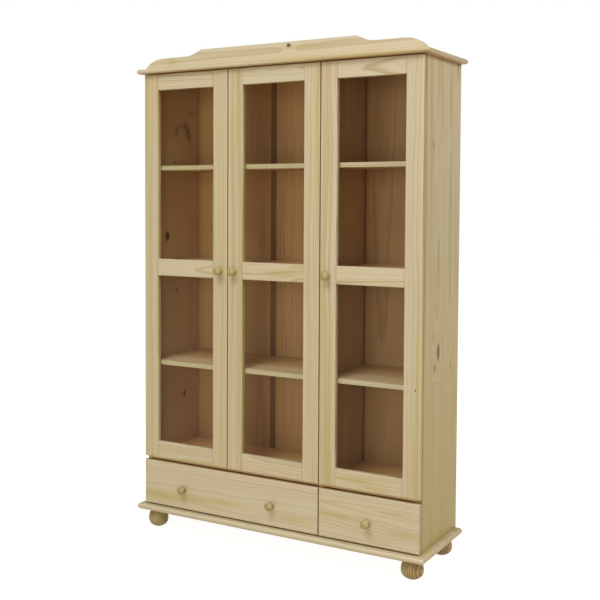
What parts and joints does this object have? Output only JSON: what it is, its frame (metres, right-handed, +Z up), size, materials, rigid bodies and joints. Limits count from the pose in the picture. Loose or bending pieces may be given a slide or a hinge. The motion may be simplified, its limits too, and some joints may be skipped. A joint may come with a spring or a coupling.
{
  "type": "display cabinet",
  "caption": "Tall pine display cabinet with glazed hinged doors and shelves over overlay drawers, a shaped crest on top and turned bun feet.",
  "frame": {"origin": "under the middle of the bounding box, on the plane of the feet's undersides", "axes": "+X to the right seen from the front, +Y towards the back, +Z up"},
  "size_m": [1.235, 0.433, 1.952],
  "materials": {
    "pine": "satin lacquer",
    "turned_pine": "satin lacquer",
    "sheet": "thin veneered sheet",
    "strip": "dark brown",
    "glass": "clear",
    "steel": "nickel plated"
  },
  "bodies": {
    "case": {"side_left": "pine", "side_right": "pine", "partition": "pine", "top_board": "pine", "crest": "pine", "plinth_board": "pine", "deck_board": "pine", "drawer_divider": "pine", "back_sheet_left": "sheet", "back_sheet_middle": "sheet", "back_sheet_right": "sheet", "back_joint_strips": "strip", "shelf_wide_upper": "pine", "shelf_wide_middle": "pine", "shelf_wide_lower": "pine", "shelf_narrow_upper": "pine", "shelf_narrow_middle": "pine", "shelf_narrow_lower": "pine", "shelf_supports": "steel", "bun_feet": "turned_pine", "drawer_runners": "pine", "hinge_arms_left": "steel", "hinge_arms_middle": "steel", "hinge_arms_right": "steel", "hinge_plates": "steel"},
    "door_left": {"door_left_stiles": "pine", "door_left_top_rail": "pine", "door_left_middle_rail": "pine", "door_left_bottom_rail": "pine", "door_left_panes": "glass", "door_left_beads": "pine", "door_left_knob": "turned_pine", "door_left_hinge_cups": "steel"},
    "door_middle": {"door_middle_stiles": "pine", "door_middle_top_rail": "pine", "door_middle_middle_rail": "pine", "door_middle_bottom_rail": "pine", "door_middle_panes": "glass", "door_middle_beads": "pine", "door_middle_knob": "turned_pine", "door_middle_hinge_cups": "steel"},
    "door_right": {"door_right_stiles": "pine", "door_right_top_rail": "pine", "door_right_middle_rail": "pine", "door_right_bottom_rail": "pine", "door_right_panes": "glass", "door_right_beads": "pine", "door_right_knob": "turned_pine", "door_right_hinge_cups": "steel"},
    "drawer_wide": {"drawer_wide_front": "pine", "drawer_wide_sides": "pine", "drawer_wide_back": "pine", "drawer_wide_bottom": "sheet", "drawer_wide_knobs": "turned_pine"},
    "drawer_narrow": {"drawer_narrow_front": "pine", "drawer_narrow_sides": "pine", "drawer_narrow_back": "pine", "drawer_narrow_bottom": "sheet", "drawer_narrow_knobs": "turned_pine"}
  },
  "joints": [
    {"name": "door_left_hinge", "type": "hinge", "parent": "case", "child": "door_left", "pos_m": [-0.583, -0.169, 1.0815], "axis": [0, 0, -1], "range_deg": [0, 95]},
    {"name": "door_middle_hinge", "type": "hinge", "parent": "case", "child": "door_middle", "pos_m": [0.187, -0.169, 1.0815], "axis": [0, 0, 1], "range_deg": [0, 95]},
    {"name": "door_right_hinge", "type": "hinge", "parent": "case", "child": "door_right", "pos_m": [0.583, -0.169, 1.0815], "axis": [0, 0, 1], "range_deg": [0, 95]},
    {"name": "drawer_wide_slide", "type": "slide", "parent": "case", "child": "drawer_wide", "axis": [0, -1, 0], "range_m": [0, 0.3]},
    {"name": "drawer_narrow_slide", "type": "slide", "parent": "case", "child": "drawer_narrow", "axis": [0, -1, 0], "range_m": [0, 0.3]}
  ]
}
